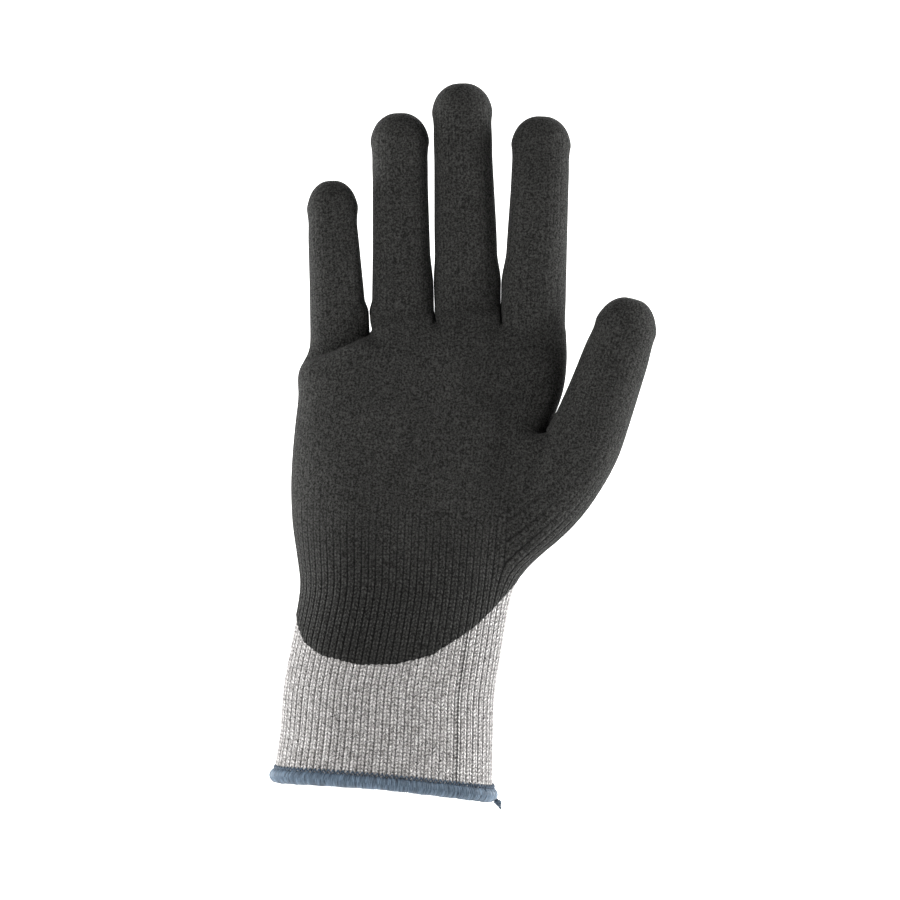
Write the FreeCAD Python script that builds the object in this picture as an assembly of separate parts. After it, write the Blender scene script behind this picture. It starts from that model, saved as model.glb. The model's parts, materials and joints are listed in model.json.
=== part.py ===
"""Cut resistant glove for the right hand: knitted liner, dipped palm coating, rib cuff and overlocked hem.

The glove keeps the open shape it has on a hand, fingers up. Units are millimetres. +Z runs from the
wrist to the fingertips, +X points to the thumb side, -Y is the palm side and +Y the back of the hand.
The origin is the middle of the wrist opening, in the plane of the hem's lower edge.

The liner is one seamless knitted tube with five finger stalls, and the coating is a skin on its palm
side. Both are divided at the lines where a hand bends them: the pieces between the lines are firm, and
each line has a short flex sleeve, which is the stretch of coated fabric that folds and stretches there.
"""

import FreeCAD, Part
import os
from math import cos, pi, radians, sin, sqrt, tan

from FreeCAD import Vector

os.makedirs("parts", exist_ok=True)

# ---- Fabric -------------------------------------------------------------------------------------
LINER = 1.1  # thickness of the knitted liner
COAT = 0.6  # thickness of the foam coating on top of it
SKIN = COAT  # how far each of the three surfaces lies inside the outside of the coating
INSIDE = COAT + LINER
ROUNDNESS = 2.35  # exponent of a section's outline: 2 is an ellipse, more is squarer
RING_POINTS = 16  # points that an outline is drawn through

# ---- Four finger stalls -------------------------------------------------------------------------
# base and tip: (x, z) of the stall's middle line at the web and at its end; base_y: its depth there.
# half_widths and half_depths: outside sizes at the web, the middle joint, the tip joint and the wide
# part of the fingertip.
FINGERS = {
    "little": dict(base=(-15.2, 153.0), tip=(-18.1, 208.8), base_y=-2.0,
                   half_widths=(9.9, 9.0, 8.2, 8.5), half_depths=(8.4, 7.9, 7.5, 7.4)),
    "ring": dict(base=(6.2, 160.0), tip=(5.2, 231.9), base_y=-0.5,
                 half_widths=(10.5, 9.7, 9.3, 9.9), half_depths=(9.3, 8.8, 8.3, 8.2)),
    "middle": dict(base=(28.4, 161.0), tip=(26.2, 242.0), base_y=0.0,
                   half_widths=(10.7, 10.6, 9.8, 10.2), half_depths=(9.6, 9.1, 8.6, 8.4)),
    "index": dict(base=(50.8, 160.0), tip=(53.8, 230.7), base_y=-1.0,
                  half_widths=(10.8, 10.2, 9.7, 10.0), half_depths=(9.5, 9.0, 8.4, 8.3)),
}
JOINT_SHARES = (0.10, 0.38, 0.70)  # places of the three joints, as shares of the length from the web
DOME_SHARE = 1.25  # length of a stall's domed end, as a multiple of its half width
DOME_ANGLES = (20, 40, 60, 75, 83)  # sections of a domed end, as angles from its widest place
FORWARD_BOW = 5.0  # how far a fingertip leans towards the palm
ROOT_DEPTH = 16.0  # how far a stall's tube reaches down into the palm
ROOT_TAPER = 0.25  # share of its size that the tube loses there, so that it stays inside the palm
RING_STEP = 9.0  # between the sections that a stall is drawn through

# ---- Thumb stall --------------------------------------------------------------------------------
# (x, y, z), half width and half depth along its middle line, from inside the palm to the tip.
THUMB = [
    ((31.0, -3.0, 68.0), 8.0, 10.0),
    ((46.0, -5.5, 89.0), 11.0, 12.5),
    ((60.5, -7.5, 106.5), 14.0, 13.2),
    ((68.6, -8.5, 122.0), 12.7, 11.6),
    ((74.6, -9.5, 138.0), 11.7, 10.6),
    ((78.6, -10.5, 149.5), 11.2, 10.0),
    ((81.6, -11.2, 158.0), 10.2, 9.2),
]
THUMB_END = (84.0, -11.8, 168.0)
# A point on the middle line at each joint, the line's direction there, the half depth, and the hinge's
# turn in degrees from straight across the palm (0 bends only sideways, 90 only forward).
THUMB_JOINTS = {
    "knuckle": ((70.9, -8.9, 127.8), (0.345, 0.0, 0.938), 11.3, 76.0),
    "tipjoint": ((77.2, -10.1, 145.6), (0.330, -0.08, 0.940), 10.2, 55.0),
}

# ---- Palm, wrist and cuff -----------------------------------------------------------------------
# Rings of the hand's tube: (x, y, z) of the middle, half width, half depth, and tilt about Y in
# degrees. The first three are the cuff's, and the last one is the web line.
CUFF_TILT = 5.2
PALM_RINGS = [
    ((-0.3, 0.0, 1.0), 38.3, 24.1, CUFF_TILT),
    ((1.1, 0.0, 24.0), 36.6, 22.7, CUFF_TILT),
    ((4.1, 0.0, 50.0), 34.3, 20.8, CUFF_TILT),
    ((6.8, -0.6, 66.0), 34.8, 19.8, 3.0),
    ((9.2, -1.2, 84.0), 39.5, 18.6, 1.0),
    ((11.0, -1.2, 104.0), 42.8, 16.6, -1.0),
    ((12.2, -1.0, 124.0), 43.1, 14.8, -2.0),
    ((15.6, -0.8, 142.0), 44.8, 12.8, -4.0),
    ((17.8, -0.6, 153.5), 43.8, 10.8, -6.0),
]
WRIST = (4.8, 0.0, 52.7)  # a point on the wrist's hinge
WRIST_HALF_DEPTH = 20.6

# ---- Bending ------------------------------------------------------------------------------------
# Least and most bend of each joint in degrees, towards the palm.
WRIST_RANGE = (-45.0, 60.0)
FINGER_RANGES = {"knuckle": (-10.0, 70.0), "midjoint": (0.0, 85.0), "tipjoint": (0.0, 40.0)}
THUMB_RANGES = {"knuckle": (-5.0, 25.0), "tipjoint": (0.0, 40.0)}  # a full curl leaves the index finger clear
HINGE_TO_PALM = 0.4  # a finger's hinge lies this share of the half depth nearer to the palm side
SLACK = 0.7  # free length left between two firm pieces at full bend

# ---- Coating's edge -----------------------------------------------------------------------------
# The lower edge on the palm: (x, z) from beyond the little finger's side to beyond the thumb's.
COAT_EDGE = [(-60.0, 73.0), (-29.0, 58.0), (-21.0, 48.8), (-6.0, 45.4), (13.0, 47.8), (30.0, 58.0),
             (46.0, 73.5), (70.0, 90.0), (120.0, 125.0)]
PALM_WRAP = 2.5  # y of the coating's edge on the palm's sides
COAT_WRAP = 0.30  # the coating passes the sides of a stall by this share of the half depth
COAT_CAP = 9.0  # length of the fingertip that is coated all round
THUMB_WRAP = (-2.0, -8.0)  # y of the coating's edge on the thumb, at its knuckle and at its tip

# ---- Hem and elastic ----------------------------------------------------------------------------
HEM_RADIUS = 2.4  # of the bead of overlock thread round the edge
HEM_RISE = 2.4  # middle of the bead above the plane of its lower edge
ELASTIC_RADIUS = 0.22  # of the rubber threads laid in the knitting of the cuff
ELASTIC_ROWS = 9
ELASTIC_FIRST = 8.0  # of the first thread above the hem's lower edge
ELASTIC_PITCH = 3.2
TAIL_RADIUS = 0.7
TAIL = [(37.4, -1.0, -1.0), (38.7, -1.4, -3.2), (39.3, -1.2, -5.0)]  # thread end below the hem

FAR = 220.0  # reach of the solids that only cut others
FORWARD = Vector(0, -1, 0)
CUFF_UP = Vector(sin(radians(CUFF_TILT)), 0, cos(radians(CUFF_TILT)))


def outline(middle, across, deep, half_width, half_depth):
    """Closed curve round a section, whose corners are fuller than an ellipse's."""
    points = []
    for k in range(RING_POINTS):
        c, s = cos(2 * pi * k / RING_POINTS), sin(2 * pi * k / RING_POINTS)
        u = half_width * (1 if c > 0 else -1) * abs(c) ** (2 / ROUNDNESS)
        v = half_depth * (1 if s > 0 else -1) * abs(s) ** (2 / ROUNDNESS)
        points.append(middle + across * u + deep * v)
    curve = Part.BSplineCurve()
    curve.interpolate(points, PeriodicFlag=True)
    return Part.Wire([curve.toShape()])


def tube(rings):
    """Solid through rings of (middle, across, deep, half width, half depth)."""
    return Part.makeLoft([outline(*ring) for ring in rings], True, False, False, 3)


def dome(middle, up, across, deep, height, half_width, half_depth):
    """The rings that close a tube with a domed end."""
    rings = []
    for angle in DOME_ANGLES:
        rise, size = sin(radians(angle)), cos(radians(angle))
        rings.append((middle + up * (height * rise), across, deep, half_width * size, half_depth * size))
    return rings


def prism(corners, along):
    """Solid of a flat outline, pushed far both ways along a direction."""
    face = Part.Face(Part.makePolygon(corners + corners[:1]))
    face.translate(along * -FAR)
    return face.extrude(along * (2 * FAR))


def save(name, *shapes):
    """Write a node's solids, without the crumbs that cutting can leave."""
    solids = [s for shape in shapes for s in shape.Solids if s.Volume > 0.5]
    Part.makeCompound(solids).exportStep(f"parts/{name}.step")
    print(f"{name:26s} {len(solids)} solid(s) {sum(s.Volume for s in solids):9.1f} mm3")


class Hinge:
    """A line that the fabric bends at, and the two planes where the firm pieces beside it end."""

    def __init__(self, point, up, axis, to_palm, to_back, bend):
        self.point, self.up, self.axis = point, up, axis
        self.deep = up.cross(axis).normalize()
        self.to_palm, self.to_back = to_palm, to_back
        self.palm_gap = to_palm * tan(radians(bend[1] / 2)) + SLACK
        self.back_gap = to_back * tan(radians(-bend[0] / 2)) + SLACK

    def rim(self, side):
        """Ends of the plane below (-1) or above (1) the hinge, drawn on past the fabric both ways."""
        front = self.point - self.deep * self.to_palm + self.up * (side * self.palm_gap)
        back = self.point + self.deep * self.to_back + self.up * (side * self.back_gap)
        run = (back - front) * 1.5
        return front - run, back + run

    def below(self):
        front, back = self.rim(-1)
        return prism([front, back, back - self.up * FAR, front - self.up * FAR], self.axis)

    def above(self):
        front, back = self.rim(1)
        return prism([front, back, back + self.up * FAR, front + self.up * FAR], self.axis)

    def sleeve(self, shape):
        """What lies between the two planes."""
        return shape.cut(self.below()).cut(self.above())


class Stall:
    """A finger stall: its middle line, its sections, its hinges and its coated region."""

    names = ("proximal", "medial", "distal")

    def __init__(self, size):
        (x0, z0), (x1, z1) = size["base"], size["tip"]
        self.base = Vector(x0, size["base_y"], z0)
        self.length = sqrt((x1 - x0) ** 2 + (z1 - z0) ** 2)
        self.up = Vector(x1 - x0, 0, z1 - z0).normalize()
        self.deep = FORWARD * -1
        self.across = self.deep.cross(self.up)
        self.widths, self.depths = size["half_widths"], size["half_depths"]
        self.dome_start = self.length - DOME_SHARE * self.widths[3]
        self.joints = [self.length * share for share in JOINT_SHARES]
        self.hinges = {}
        for s, (joint, bend) in zip(self.joints, FINGER_RANGES.items()):
            depth = self.half_sizes(s)[1]
            point = self.middle(s) - self.deep * (HINGE_TO_PALM * depth)
            self.hinges[joint] = Hinge(point, self.up, self.across, (1 - HINGE_TO_PALM) * depth,
                                       (1 + HINGE_TO_PALM) * depth, bend)

    def middle(self, s):
        """Point on the middle line, s from the web, bowed towards the palm."""
        bow = FORWARD_BOW * max(0.0, s / self.length) ** 2
        return self.base + self.up * s - self.deep * bow

    def half_sizes(self, s):
        """Outside half width and half depth at s, by straight lines between the stated places."""
        if s < 0:
            taper = 1 + ROOT_TAPER * s / ROOT_DEPTH
            return self.widths[0] * taper, self.depths[0] * taper
        at = (0.0, self.joints[1], self.joints[2], self.dome_start)
        k = max(n for n in range(3) if s >= at[n])
        t = min(1.0, (s - at[k]) / (at[k + 1] - at[k]))
        return tuple(v[k] + (v[k + 1] - v[k]) * t for v in (self.widths, self.depths))

    def solid(self, inset):
        """The stall as a closed solid, its surface inset from the outside of the coating."""
        root = inset - ROOT_DEPTH
        steps = round((self.dome_start - root) / RING_STEP)
        rings = []
        for n in range(steps + 1):
            s = root + (self.dome_start - root) * n / steps
            w, d = self.half_sizes(s)
            rings.append((self.middle(s), self.across, self.deep, w - inset, d - inset))
        height = self.length - self.dome_start - inset
        w, d = self.widths[3] - inset, self.depths[3] - inset
        rings += dome(self.middle(self.dome_start), self.up, self.across, self.deep, height, w, d)
        return tube(rings)

    def coated(self):
        """Region that the dip covers: the palm side, the sides, and all round the fingertip."""
        wrap = self.deep * (COAT_WRAP * self.depths[0])
        cap = self.length - COAT_CAP
        edge = [self.middle(s) + wrap for s in (-ROOT_DEPTH, 0.0, self.length / 2, cap)]
        beyond = self.middle(cap) + self.up * FAR
        return prism(edge + [self.middle(cap) + self.deep * FAR, beyond + self.deep * FAR,
                             beyond - self.deep * FAR, self.middle(-ROOT_DEPTH) - self.deep * FAR], self.across)


class Thumb:
    """The thumb stall, on a bent middle line, with two hinges that are turned towards the palm."""

    names = ("proximal", "distal")

    def __init__(self):
        self.hinges = {}
        for joint, (point, up, depth, turn) in THUMB_JOINTS.items():
            up = Vector(*up).normalize()
            across = up.cross(FORWARD)
            axis = FORWARD * cos(radians(turn)) + across * sin(radians(turn))
            axis = (axis - up * axis.dot(up)).normalize()
            deep = up.cross(axis)
            point = Vector(*point) - deep * (HINGE_TO_PALM * depth)
            self.hinges[joint] = Hinge(point, up, axis, (1 - HINGE_TO_PALM) * depth,
                                       (1 + HINGE_TO_PALM) * depth, THUMB_RANGES[joint])

    def solid(self, inset):
        middles = [Vector(*ring[0]) for ring in THUMB] + [Vector(*THUMB_END)]
        rings = []
        for n, (_, w, d) in enumerate(THUMB):
            up = (middles[n + 1] - middles[max(n - 1, 0)]).normalize()
            across = up.cross(FORWARD).normalize()
            rings.append((middles[n], across, up.cross(across), w - inset, d - inset))
        rings[0] = (middles[0] + (middles[1] - middles[0]).normalize() * inset,) + rings[0][1:]
        up = middles[-1] - middles[-2]
        height = up.Length - inset
        up.normalize()
        across = up.cross(FORWARD).normalize()
        rings += dome(middles[-2], up, across, up.cross(across), height, w - inset, d - inset)
        return tube(rings)

    def coated(self):
        knuckle, tip = THUMB_JOINTS["knuckle"][0][2], THUMB_END[2]
        slope = (THUMB_WRAP[1] - THUMB_WRAP[0]) / (tip - knuckle)
        cap = tip - COAT_CAP
        edge = [Vector(0, THUMB_WRAP[0] + slope * (z - knuckle), z) for z in (0.0, cap)]
        corners = edge + [Vector(0, FAR, cap), Vector(0, FAR, FAR), Vector(0, -FAR, FAR), Vector(0, -FAR, 0)]
        return prism(corners, Vector(1, 0, 0))


def hand_tube(inset):
    """The tube from the hem to the web, its surface inset from the outside of the coating."""
    rings = []
    for n, ((x, y, z), w, d, tilt) in enumerate(PALM_RINGS):
        across = Vector(cos(radians(tilt)), 0, -sin(radians(tilt)))
        if n == len(PALM_RINGS) - 1:
            z -= inset
        rings.append((Vector(x, y, z), across, FORWARD * -1, w - inset, d - inset))
    return tube(rings)


def palm_coated():
    """Region of the dip on the hand's tube: in front, above the lower edge of the coating."""
    spline = Part.BSplineCurve()
    spline.interpolate([Vector(x, PALM_WRAP, z) for x, z in COAT_EDGE])
    first, last = (Vector(x, PALM_WRAP, z) for x, z in (COAT_EDGE[0], COAT_EDGE[-1]))
    corners = [last, Vector(last.x, PALM_WRAP, FAR), Vector(first.x, PALM_WRAP, FAR), first]
    face = Part.Face(Part.Wire([spline.toShape()] + Part.makePolygon(corners).Edges))
    return face.extrude(FORWARD * FAR)


def ring_round(solid, height, radius):
    """A round thread that runs along a solid's surface at a height above the hem's lower edge."""
    path = solid.slice(CUFF_UP, height)[0]
    start = path.Edges[0]
    point, way = start.valueAt(start.FirstParameter), start.tangentAt(start.FirstParameter)
    circle = Part.Wire([Part.makeCircle(radius, point, way)])
    return path.makePipeShell([circle], True, False)


def main():
    stalls = {name: Stall(size) for name, size in FINGERS.items()}
    stalls["thumb"] = Thumb()
    outside, skin, inside = (hand_tube(inset) for inset in (0.0, SKIN, INSIDE))
    wrist = Hinge(Vector(*WRIST), Vector(0, 0, 1), Vector(1, 0, 0), WRIST_HALF_DEPTH, WRIST_HALF_DEPTH,
                  WRIST_RANGE)
    print("hinge wrist", wrist.point, wrist.axis)
    roots = {0.0: [], SKIN: [], INSIDE: []}

    for finger, stall in stalls.items():
        shapes = {inset: stall.solid(inset) for inset in roots}
        liner = shapes[SKIN].cut(shapes[INSIDE])
        coating = shapes[0.0].cut(shapes[SKIN]).common(stall.coated())
        hinges = list(stall.hinges.items())
        for inset, solid in shapes.items():
            roots[inset].append(solid if inset == INSIDE else solid.common(hinges[0][1].below()))
        for n, (segment, (joint, hinge)) in enumerate(zip(stall.names, hinges)):
            print("hinge", finger, joint, hinge.point, hinge.axis)
            save(f"{finger}_{joint}_flex", hinge.sleeve(liner), hinge.sleeve(coating))
            region = hinge.above()
            if n + 1 < len(hinges):
                region = region.common(hinges[n + 1][1].below())
            save(f"{finger}_{segment}_liner", liner.common(region))
            save(f"{finger}_{segment}_coating", coating.common(region))

    inner = inside.fuse(roots[INSIDE])
    middle = skin.fuse(roots[SKIN])
    outer = outside.fuse(roots[0.0])
    liner = middle.cut(inner)
    coating = outer.cut(middle).common(palm_coated())
    save("palm_liner", liner.common(wrist.above()))
    save("palm_coating", coating.common(wrist.above()))

    wall = skin.cut(inside)
    save("wrist_flex", wrist.sleeve(wall), wrist.sleeve(outside.cut(skin).common(palm_coated())))
    half_wall = hand_tube(SKIN + LINER / 2)
    above_hem = prism([Vector(x, 0, 0) + CUFF_UP * z for x, z in
                       ((-FAR, HEM_RISE), (FAR, HEM_RISE), (FAR, FAR), (-FAR, FAR))], FORWARD)
    cuff = wall.common(wrist.below()).common(above_hem)
    save("cuff_liner", cuff)
    bead = ring_round(half_wall, HEM_RISE, HEM_RADIUS)
    save("cuff_hem", bead.cut(cuff))
    heights = [ELASTIC_FIRST + ELASTIC_PITCH * n for n in range(ELASTIC_ROWS)]
    save("cuff_elastic", *[ring_round(half_wall, height, ELASTIC_RADIUS) for height in heights])
    spline = Part.BSplineCurve()
    spline.interpolate([Vector(*p) for p in TAIL])
    path = Part.Wire([spline.toShape()])
    circle = Part.Wire([Part.makeCircle(TAIL_RADIUS, Vector(*TAIL[0]), Vector(*TAIL[1]) - Vector(*TAIL[0]))])
    save("hem_tail", path.makePipeShell([circle], True, False).cut(bead))


main()
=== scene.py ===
import json
from math import cos, pi, radians, sin, tau

import bmesh
import bpy
import numpy as np
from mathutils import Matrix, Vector

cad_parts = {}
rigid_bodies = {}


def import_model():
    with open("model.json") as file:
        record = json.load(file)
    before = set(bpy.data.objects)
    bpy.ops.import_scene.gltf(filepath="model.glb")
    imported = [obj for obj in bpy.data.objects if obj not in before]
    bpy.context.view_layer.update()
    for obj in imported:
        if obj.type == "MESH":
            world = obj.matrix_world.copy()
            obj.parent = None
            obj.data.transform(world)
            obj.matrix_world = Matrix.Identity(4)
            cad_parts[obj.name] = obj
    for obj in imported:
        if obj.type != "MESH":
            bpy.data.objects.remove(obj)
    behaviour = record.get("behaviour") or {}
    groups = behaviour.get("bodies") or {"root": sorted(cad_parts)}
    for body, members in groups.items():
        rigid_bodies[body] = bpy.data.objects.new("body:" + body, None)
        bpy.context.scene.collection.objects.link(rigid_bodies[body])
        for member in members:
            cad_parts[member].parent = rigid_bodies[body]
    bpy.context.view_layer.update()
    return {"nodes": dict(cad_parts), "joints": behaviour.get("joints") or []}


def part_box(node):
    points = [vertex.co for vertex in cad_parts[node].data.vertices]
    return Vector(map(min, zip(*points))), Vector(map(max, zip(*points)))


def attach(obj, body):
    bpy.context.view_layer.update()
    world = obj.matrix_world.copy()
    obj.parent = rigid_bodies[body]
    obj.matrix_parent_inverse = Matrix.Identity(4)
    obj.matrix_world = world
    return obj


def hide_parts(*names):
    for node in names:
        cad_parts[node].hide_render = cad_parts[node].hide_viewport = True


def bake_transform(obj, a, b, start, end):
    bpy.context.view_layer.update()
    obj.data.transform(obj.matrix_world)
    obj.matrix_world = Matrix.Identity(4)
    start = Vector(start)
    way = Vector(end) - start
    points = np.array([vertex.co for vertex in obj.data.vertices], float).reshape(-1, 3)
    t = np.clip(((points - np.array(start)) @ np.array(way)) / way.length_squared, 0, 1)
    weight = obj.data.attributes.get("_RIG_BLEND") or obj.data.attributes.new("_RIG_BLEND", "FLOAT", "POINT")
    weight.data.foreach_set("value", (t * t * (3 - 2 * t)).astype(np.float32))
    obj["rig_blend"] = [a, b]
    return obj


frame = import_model()
MM = 0.001

# ---- Studio -------------------------------------------------------------------------------------
# A white sweep of paper behind and below the glove, a large soft light from the upper left, weaker
# ones that catch both sides, and a long lens that looks straight at the palm.
FRAME_CENTRE = Vector((0.0224, 0.0, 0.1173))
FRAME_WIDTH = 0.306
CAMERA_DISTANCE = 1.3
camera = bpy.data.objects.new("camera", bpy.data.cameras.new("camera"))
camera.data.lens = camera.data.sensor_width * CAMERA_DISTANCE / FRAME_WIDTH
camera.location = FRAME_CENTRE + Vector((0, -CAMERA_DISTANCE, 0))
camera.rotation_euler = (pi / 2, 0, 0)
bpy.context.scene.collection.objects.link(camera)
bpy.context.scene.camera = camera
SEEN, SKY_CAST, PAPER_CAST = 1.0, 0.10, 0.22  # brightness to the camera, and as light on the glove


def bright_to_the_eye(tree, socket, seen, cast):
    """Link a strength that is one value where it is looked at and a lower one where it lights things."""
    path = tree.nodes.new("ShaderNodeLightPath")
    level = tree.nodes.new("ShaderNodeMapRange")
    level.inputs["To Min"].default_value, level.inputs["To Max"].default_value = cast, seen
    tree.links.new(path.outputs["Is Camera Ray"], level.inputs["Value"])
    tree.links.new(level.outputs["Result"], socket)


world = bpy.data.worlds.new("studio")
world.use_nodes = True
sky = world.node_tree.nodes["Background"]
sky.inputs["Color"].default_value = (1, 1, 1, 1)
bright_to_the_eye(world.node_tree, sky.inputs["Strength"], SEEN, SKY_CAST)
bpy.context.scene.world = world
bpy.context.scene.view_settings.view_transform = "Standard"

LAMPS = (("key_light", (-0.80, -0.75, 0.65), (0.01, 0, 0.13), 14, 0.45),  # place, aim, watts and size
         ("side_light", (0.95, 0.05, 0.30), (0.03, 0, 0.13), 19, 0.5),
         ("far_side_light", (-0.95, 0.25, 0.15), (0.0, 0, 0.10), 16, 0.6),
         ("back_light", (0.2, 1.1, 0.9), (0.01, 0, 0.12), 10, 0.8))
for name, stand, aim, power, size in LAMPS:
    lamp = bpy.data.objects.new(name, bpy.data.lights.new(name, "AREA"))
    lamp.data.energy = power
    lamp.data.size = size
    lamp.location = stand
    lamp.rotation_euler = (Vector(aim) - Vector(stand)).to_track_quat("-Z", "Y").to_euler()
    bpy.context.scene.collection.objects.link(lamp)

PAPER_HALF = 2.5
SWEEP = ((-2.5, -0.06), (0.9, -0.06), (1.5, 0.1), (1.7, 0.6), (1.7, 3))  # y and z, from the front up the back
paper = bmesh.new()
sweep = [paper.verts.new((-PAPER_HALF, y, z)) for y, z in SWEEP]
edges = [paper.edges.new(pair) for pair in zip(sweep, sweep[1:])]
made = bmesh.ops.extrude_edge_only(paper, edges=edges)["geom"]
far_edge = [v for v in made if isinstance(v, bmesh.types.BMVert)]
bmesh.ops.translate(paper, vec=(2 * PAPER_HALF, 0, 0), verts=far_edge)
bmesh.ops.recalc_face_normals(paper, faces=paper.faces)
floor = bpy.data.objects.new("paper_sweep", bpy.data.meshes.new("paper_sweep"))
paper.to_mesh(floor.data)
paper.free()
bpy.context.scene.collection.objects.link(floor)
white = bpy.data.materials.new("white_paper")
white.use_nodes = True
paper_shader = white.node_tree.nodes["Principled BSDF"]
paper_shader.inputs["Base Color"].default_value = (0.9, 0.9, 0.9, 1)
paper_shader.inputs["Roughness"].default_value = 0.9
paper_shader.inputs["Emission Color"].default_value = (1, 1, 1, 1)
bright_to_the_eye(white.node_tree, paper_shader.inputs["Emission Strength"], SEEN, PAPER_CAST)
floor.data.materials.append(white)

# ---- Knitted glove ------------------------------------------------------------------------------
# One seamless rib knit of pale grey yarn, from the wrist opening to the closed fingertips. It is drawn
# here as a cage with one column to a rib, which is then smoothed, and later divided into pieces.
WALES = 78  # ribs round the hand
THUMB_WALES = 28
COAT = 0.6 * MM
ROUNDNESS = 2.35
BASE_SHARE = 0.1  # the knuckle hinge lies this share of a finger's length above the web
TILTS = ((0, 50, 66, 104, 150), (5.2, 5.2, 3.0, -1.0, -4.0))  # of the rows, by height in mm


def cad_slice(node, z):
    """Points where a CAD node crosses a level."""
    solid = bmesh.new()
    solid.from_mesh(frame["nodes"][node].data)
    everything = solid.verts[:] + solid.edges[:] + solid.faces[:]
    cut = bmesh.ops.bisect_plane(solid, geom=everything, plane_co=(0, 0, z), plane_no=(0, 0, 1))["geom_cut"]
    points = np.array([v.co[:] for v in cut if isinstance(v, bmesh.types.BMVert)])
    solid.free()
    return points


def round_points(count, half_width, half_depth):
    """Places round a section at equal spacing, from its +X side by the palm side."""
    turns = np.linspace(0, tau, 721)
    c, s = np.cos(turns), -np.sin(turns)
    u = half_width * np.sign(c) * np.abs(c) ** (2 / ROUNDNESS)
    v = half_depth * np.sign(s) * np.abs(s) ** (2 / ROUNDNESS)
    run = np.concatenate([[0], np.cumsum(np.hypot(np.diff(u), np.diff(v)))])
    at = run[-1] * np.arange(count) / count
    return list(zip(np.interp(at, run, u), np.interp(at, run, v)))


cage = bmesh.new()
wale_map = cage.loops.layers.uv.new("wales")
side_layer = cage.verts.layers.float.new("side")  # -1 in front, 0 at the sides, 1 at the back
reach_layer = cage.verts.layers.float.new("reach")  # distance down from the fingertip, in metres


def grow(loop, rise, closed=True):
    """Extrude a loop of columns by one row, mapped one unit a column across and in metres up."""
    ring = loop + loop[:1] if closed else loop
    edges = [cage.edges.get(pair) for pair in zip(ring, ring[1:])]
    made = bmesh.ops.extrude_edge_only(cage, edges=edges)["geom"]
    fresh = {v for v in made if isinstance(v, bmesh.types.BMVert)}
    new = [next(e.other_vert(v) for e in v.link_edges if e.other_vert(v) in fresh) for v in loop]
    top = new + new[:1] if closed else new
    for k, (a, b) in enumerate(zip(top, top[1:])):
        for corner in cage.edges.get((a, b)).link_faces[0].loops:
            across = k if corner.vert in (ring[k], top[k]) else k + 1
            corner[wale_map].uv = (across, rise[1] if corner.vert in (a, b) else rise[0])
    return new


def place(loop, centre, across, deep, half_width, half_depth, reach=1.0):
    """Move a loop to a section."""
    for vert, (u, v) in zip(loop, round_points(len(loop), half_width, half_depth)):
        vert.co = centre + across * float(u) + deep * float(v)
        vert[side_layer] = float(v) / half_depth
        vert[reach_layer] = reach


# The hand's tube, in rows from the hem to just below the web. Its sides and depth at each row come
# from the CAD liner; where the thumb springs, the thumb side runs straight past its root.
cuff_levels = (0.006, 0.014, 0.022, 0.030, 0.037)
palm_levels = (0.069, 0.080, 0.092, 0.104, 0.116, 0.128, 0.137, 0.145, 0.149)
THUMB_ROOT = (0.070, 0.134)
MIDDLE_X, MIDDLE_REACH = 12 * MM, 8 * MM  # where the depth is measured
measured = []
for node, levels in (("cuff_liner", cuff_levels), ("palm_liner", palm_levels)):
    for level in levels:
        points = cad_slice(node, level)
        middle = points[np.abs(points[:, 0] - MIDDLE_X) < MIDDLE_REACH]
        spans = points[:, 0].min(), points[:, 0].max(), middle[:, 1].min(), middle[:, 1].max()
        measured.append((level, *spans))
measured = np.array(measured)
plain = (measured[:, 0] < THUMB_ROOT[0]) | (measured[:, 0] > THUMB_ROOT[1])


def hand_section(z):
    """Middle, half width and half depth of the hand's tube at a level."""
    left, front, back = (float(np.interp(z, measured[:, 0], measured[:, k])) for k in (1, 3, 4))
    right = float(np.interp(z, measured[plain, 0], measured[plain, 2]))
    return Vector(((left + right) / 2, (front + back) / 2, z)), (right - left) / 2, (back - front) / 2


OPENING_LIFT, OPENING_WAVE, OPENING_REACH = 1.3 * MM, 2.4 * MM, 45 * MM


def opening_lift(share, z):
    """Rise of the wrist opening: least at its sides, more in front and behind (share is -1 to 1)."""
    return (OPENING_LIFT + OPENING_WAVE * share ** 2) * max(0.0, 1 - z / OPENING_REACH)


# Each finger's middle, half width and half depth, at its three hinges and half way up its last length.
TIP_SETBACK = 0.8 * MM  # of the fingertip's palm side, from the CAD liner
fingers = {}
for name in ("little", "ring", "middle", "index"):
    joints = {j["name"].split("_")[1]: Vector(j["pos_m"]) for j in frame["joints"]
              if j["name"].startswith(name)}
    finger_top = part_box(f"{name}_distal_coating")[1].z
    length = (finger_top - joints["knuckle"].z) / (1 - BASE_SHARE)
    stations = []
    for joint in ("knuckle", "midjoint", "tipjoint"):
        a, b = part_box(f"{name}_{joint}_flex")
        front = a.y + COAT
        stations.append((joints[joint].z, (a.x + b.x) / 2, (front + b.y) / 2,
                         (b.x - a.x) / 2 - COAT, (b.y - front) / 2))
    a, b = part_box(f"{name}_distal_liner")
    stations.append((a.z + (b.z - a.z) * 0.5, (a.x + b.x) / 2, (a.y + b.y + TIP_SETBACK) / 2,
                     (b.x - a.x) / 2, (b.y - a.y - TIP_SETBACK) / 2))
    fingers[name] = dict(tip=finger_top - COAT, web=joints["knuckle"].z - BASE_SHARE * length,
                         length=length, stations=np.array(stations), joints=joints)

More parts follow.
